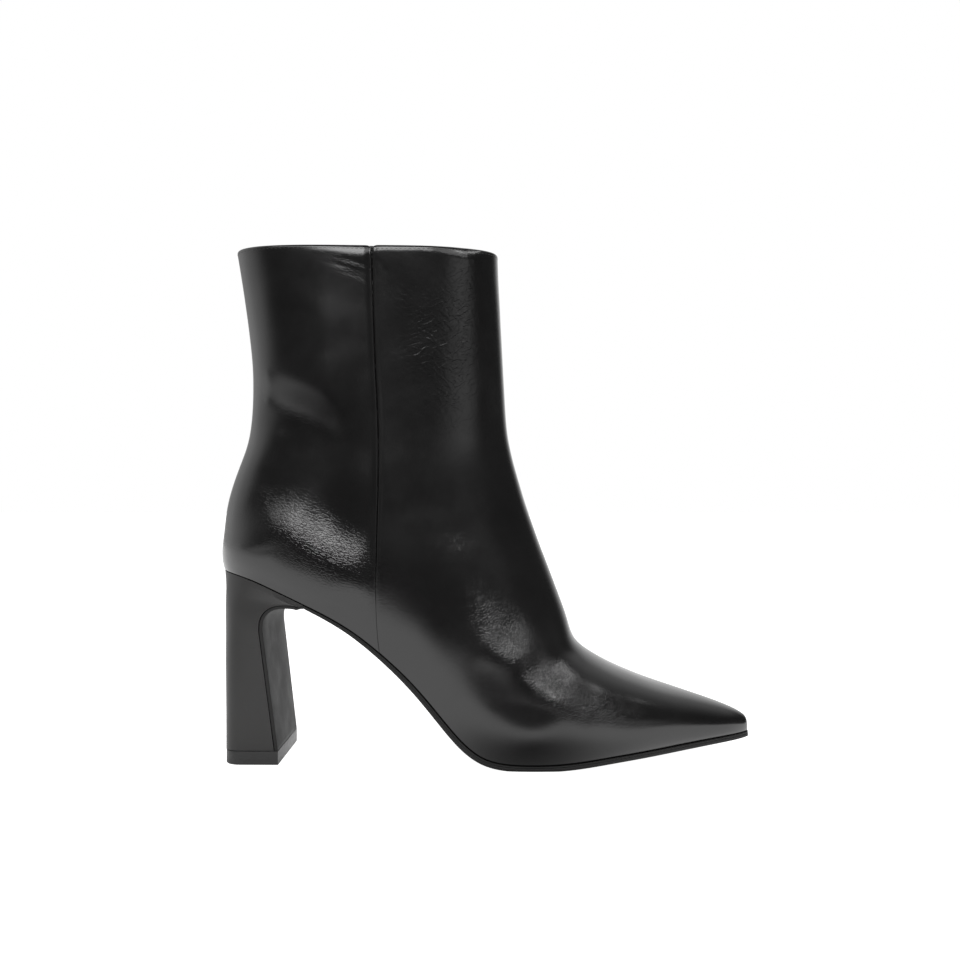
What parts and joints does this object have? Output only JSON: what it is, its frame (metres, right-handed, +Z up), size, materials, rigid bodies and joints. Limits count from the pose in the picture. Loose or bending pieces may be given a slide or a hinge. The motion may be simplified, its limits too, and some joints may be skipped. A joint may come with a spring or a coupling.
{
  "type": "heeled ankle boot",
  "caption": "Black pointed-toe ankle boot on a high covered block heel, hollow and open at the collar, for the right foot.",
  "frame": {"origin": "middle of the boot's footprint box, on the floor", "axes": "+X from heel to toe, +Y to the medial side, +Z up"},
  "size_m": [0.2396, 0.08, 0.2279],
  "materials": {
    "upper": "semi-gloss, fine grain",
    "outsole": "satin",
    "heel_block": "satin cover over a moulded block",
    "heel_tip": "satin",
    "insole": "matt"
  },
  "bodies": {
    "root": {"upper": "upper", "outsole": "outsole", "heel_block": "heel_block", "heel_tip": "heel_tip", "insole": "insole"}
  },
  "joints": []
}
